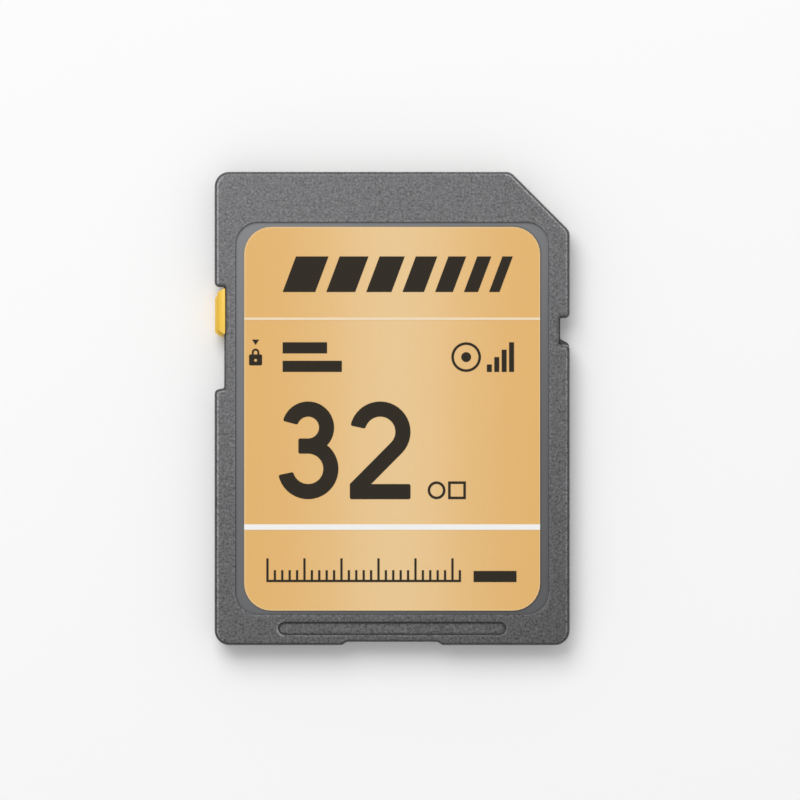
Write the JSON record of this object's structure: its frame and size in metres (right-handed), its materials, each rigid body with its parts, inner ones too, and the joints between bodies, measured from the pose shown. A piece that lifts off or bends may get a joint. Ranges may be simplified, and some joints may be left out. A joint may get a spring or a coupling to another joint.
{
  "type": "sd memory card",
  "caption": "Flat memory card with a slanted corner, a gold label, recessed contacts and a sliding write-protect tab.",
  "frame": {"origin": "middle of the flat back face, on the surface the card lies on", "axes": "+X to the right seen from the label side, +Y towards the contact edge, +Z out of the label"},
  "size_m": [0.024, 0.032, 0.0021],
  "materials": {
    "shell_grey": "fine spark-eroded texture",
    "slider_yellow": "smooth moulded",
    "label_gold": "satin printed film",
    "print_white": "flat ink",
    "print_dark": "flat ink",
    "board_green": "solder mask",
    "contact_gold": "thin gold plating",
    "chip_black": "moulded resin",
    "capacitor_tan": "fired ceramic with tinned ends",
    "resistor_black": "glazed body with tinned ends"
  },
  "bodies": {
    "card": {"front_shell": "shell_grey", "back_shell": "shell_grey", "label": "label_gold", "label_light_print": "print_white", "label_dark_print": "print_dark", "circuit_board": "board_green", "contact_pad_1": "contact_gold", "contact_pad_2": "contact_gold", "contact_pad_3": "contact_gold", "contact_pad_4": "contact_gold", "contact_pad_5": "contact_gold", "contact_pad_6": "contact_gold", "contact_pad_7": "contact_gold", "contact_pad_8": "contact_gold", "contact_pad_9": "contact_gold", "flash_chip": "chip_black", "controller_chip": "chip_black", "capacitor_1": "capacitor_tan", "capacitor_2": "capacitor_tan", "capacitor_3": "capacitor_tan", "capacitor_4": "capacitor_tan", "resistor_1": "resistor_black", "resistor_2": "resistor_black", "resistor_3": "resistor_black"},
    "slider": {"write_protect_slider": "slider_yellow"}
  },
  "joints": [
    {"name": "write_protect_slide", "type": "slide", "parent": "card", "child": "slider", "axis": [0, -1, 0], "range_m": [0, 0.00332]}
  ]
}
